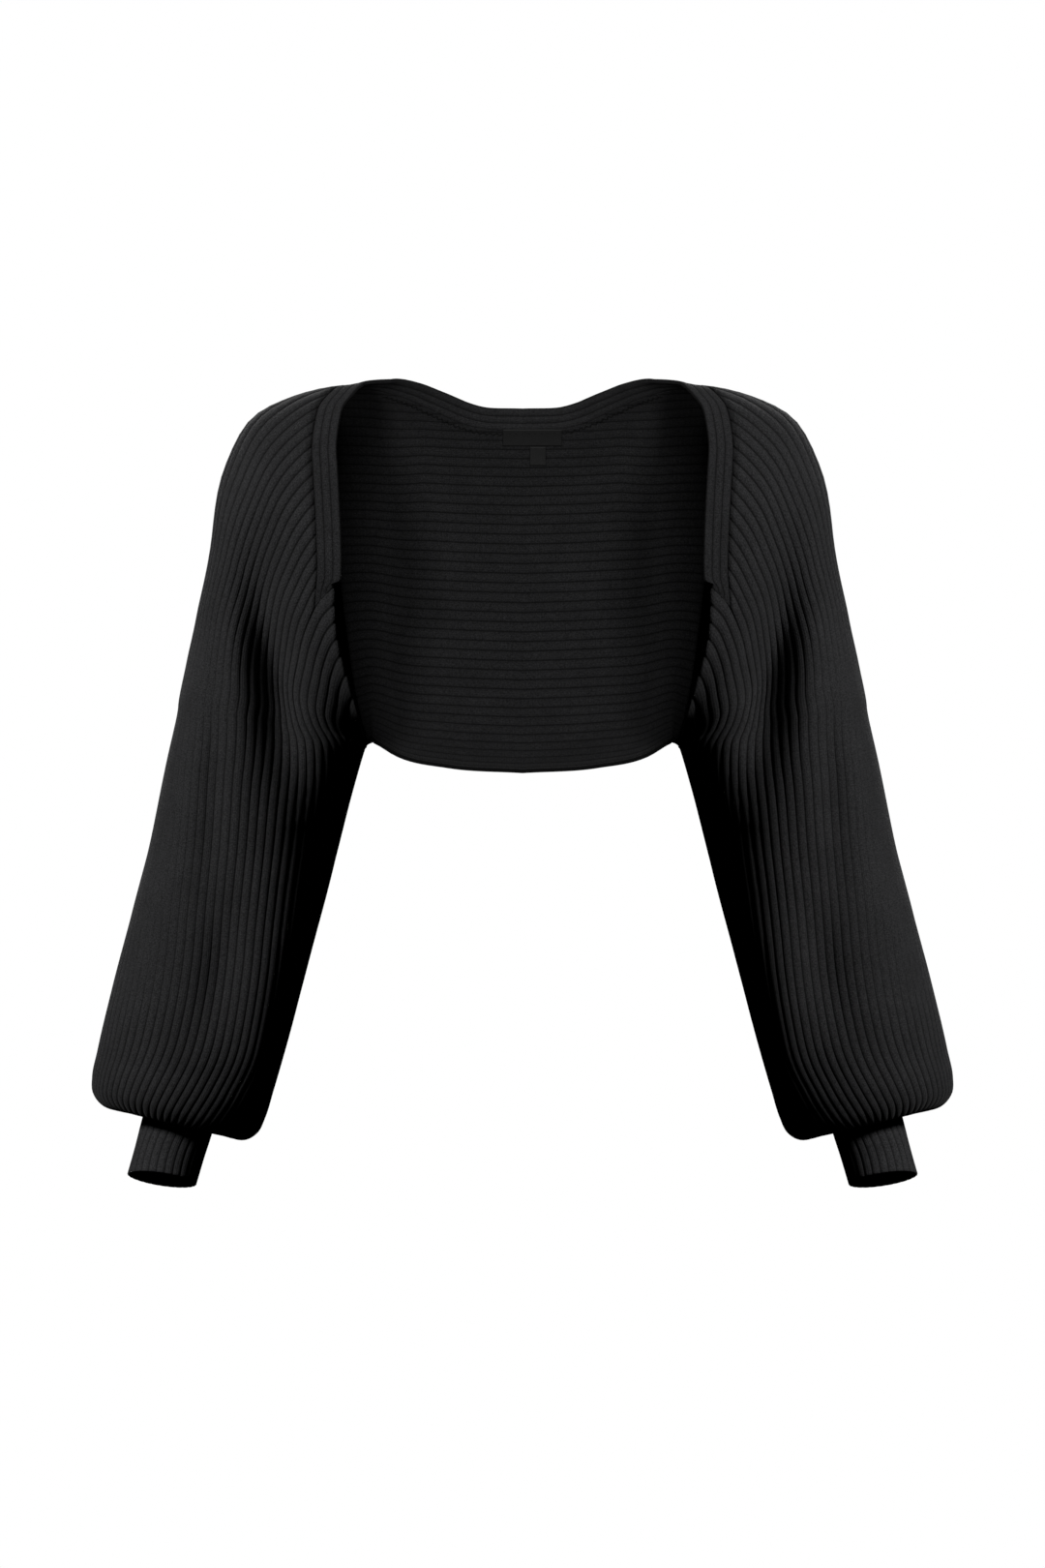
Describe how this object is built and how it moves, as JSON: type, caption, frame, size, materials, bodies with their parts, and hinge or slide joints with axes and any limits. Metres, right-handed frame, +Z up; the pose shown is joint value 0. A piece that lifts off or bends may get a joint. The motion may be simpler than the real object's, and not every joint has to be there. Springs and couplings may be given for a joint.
{
  "type": "knitted shrug",
  "caption": "Cropped open-front shrug in rib knit, with full sleeves gathered into narrow ribbed cuffs and a ribbed neck band, in the hollow form that it keeps when worn.",
  "frame": {"origin": "between the shoulders, on the centre line, level with the top of the shoulder line where the garment lies on the wearer", "axes": "+Z up, -Y out of the open front, +X towards the wearer's left sleeve"},
  "size_m": [0.6788, 0.2153, 0.6427],
  "materials": {
    "rib_knit": "matt near-black rib knit",
    "ribbed_trim": "matt near-black fine ribbing",
    "woven_label": "smooth near-black woven tape"
  },
  "bodies": {
    "root": {"back_panel": "rib_knit", "left_sleeve": "rib_knit", "right_sleeve": "rib_knit", "left_cuff": "ribbed_trim", "right_cuff": "ribbed_trim", "neck_band": "ribbed_trim", "neck_label": "woven_label", "size_tab": "woven_label"}
  },
  "joints": []
}
